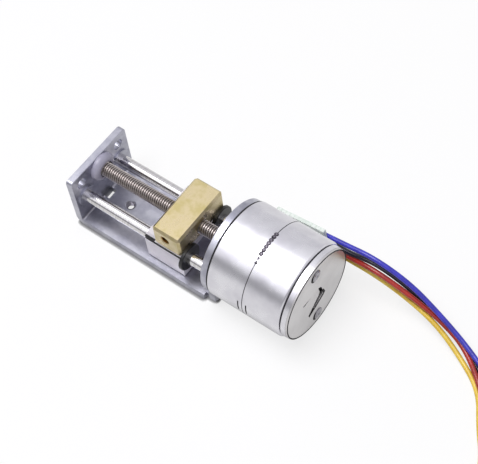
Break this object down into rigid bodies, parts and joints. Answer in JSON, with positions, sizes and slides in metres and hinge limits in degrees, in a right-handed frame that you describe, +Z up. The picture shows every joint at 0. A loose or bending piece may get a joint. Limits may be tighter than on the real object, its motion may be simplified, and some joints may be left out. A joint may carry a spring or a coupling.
{
  "type": "stepper linear actuator",
  "caption": "Can-stack stepper motor with a lead screw that moves a brass nut block along guide rods in a folded steel bracket, with bare-ended leads.",
  "frame": {"origin": "centre of the tapped hole in the bracket's base, on the underside", "axes": "+X along the lead screw to the motor, +Z up from the base, -Y to the side with the tapped hole of the nut block"},
  "size_m": [0.1023, 0.0333, 0.0208],
  "materials": {
    "plated_steel": "zinc plated sheet, satin",
    "nickel_can": "nickel plated, satin",
    "ground_steel": "ground and polished",
    "screw_steel": "rolled thread",
    "brass": "milled",
    "white_acetal": "moulded",
    "black_acetal": "moulded",
    "grey_acetal": "moulded",
    "zinc_screw": "zinc plated",
    "soft_iron": "pressed",
    "white_nylon": "moulded",
    "copper_winding": "enamelled wire",
    "sintered_bronze": "sintered",
    "ferrite": "moulded magnet",
    "circuit_board": "glass epoxy with mask",
    "tinned_copper": "tinned",
    "blue_pvc": "extruded",
    "black_pvc": "extruded",
    "red_pvc": "extruded",
    "yellow_pvc": "extruded"
  },
  "bodies": {
    "housing": {"bracket": "plated_steel", "guide_rod_near": "ground_steel", "guide_rod_far": "ground_steel", "screw_end_bush": "grey_acetal", "front_stator_cup": "nickel_can", "rear_stator_cup": "nickel_can", "front_inner_yoke": "soft_iron", "rear_inner_yoke": "soft_iron", "front_bobbin": "white_nylon", "rear_bobbin": "white_nylon", "front_coil": "copper_winding", "rear_coil": "copper_winding", "front_bearing": "sintered_bronze", "rear_bearing": "sintered_bronze", "rear_end_plate": "nickel_can", "end_spring_plate": "nickel_can", "end_plate_rivets": "zinc_screw", "terminal_block": "white_nylon", "circuit_board": "circuit_board", "terminal_pins": "tinned_copper", "pin_solder": "tinned_copper", "lead_solder": "tinned_copper", "wire_blue": "blue_pvc", "wire_black": "black_pvc", "wire_red": "red_pvc", "wire_yellow": "yellow_pvc", "wire_blue_tip": "tinned_copper", "wire_black_tip": "tinned_copper", "wire_red_tip": "tinned_copper", "wire_yellow_tip": "tinned_copper"},
    "rotor": {"lead_screw": "screw_steel", "rotor_magnet": "ferrite", "magnet_hub": "white_nylon", "thrust_washer": "white_nylon", "thrust_ball": "ground_steel"},
    "slider": {"nut_block": "brass", "carriage": "white_acetal", "liner_near": "black_acetal", "liner_far": "black_acetal", "carriage_screws": "zinc_screw"}
  },
  "joints": [
    {"name": "rotor_spin", "type": "hinge", "parent": "housing", "child": "rotor", "pos_m": [0, 0, 0.0108], "axis": [1, 0, 0], "range_deg": [-4140, 11124]},
    {"name": "slider_travel", "type": "slide", "parent": "housing", "child": "slider", "axis": [1, 0, 0], "range_m": [-0.0155, 0.0058]}
  ],
  "couplings": [
    {"joint": "slider_travel", "follows": "rotor_spin", "m_per_rad": -0.000079577}
  ]
}
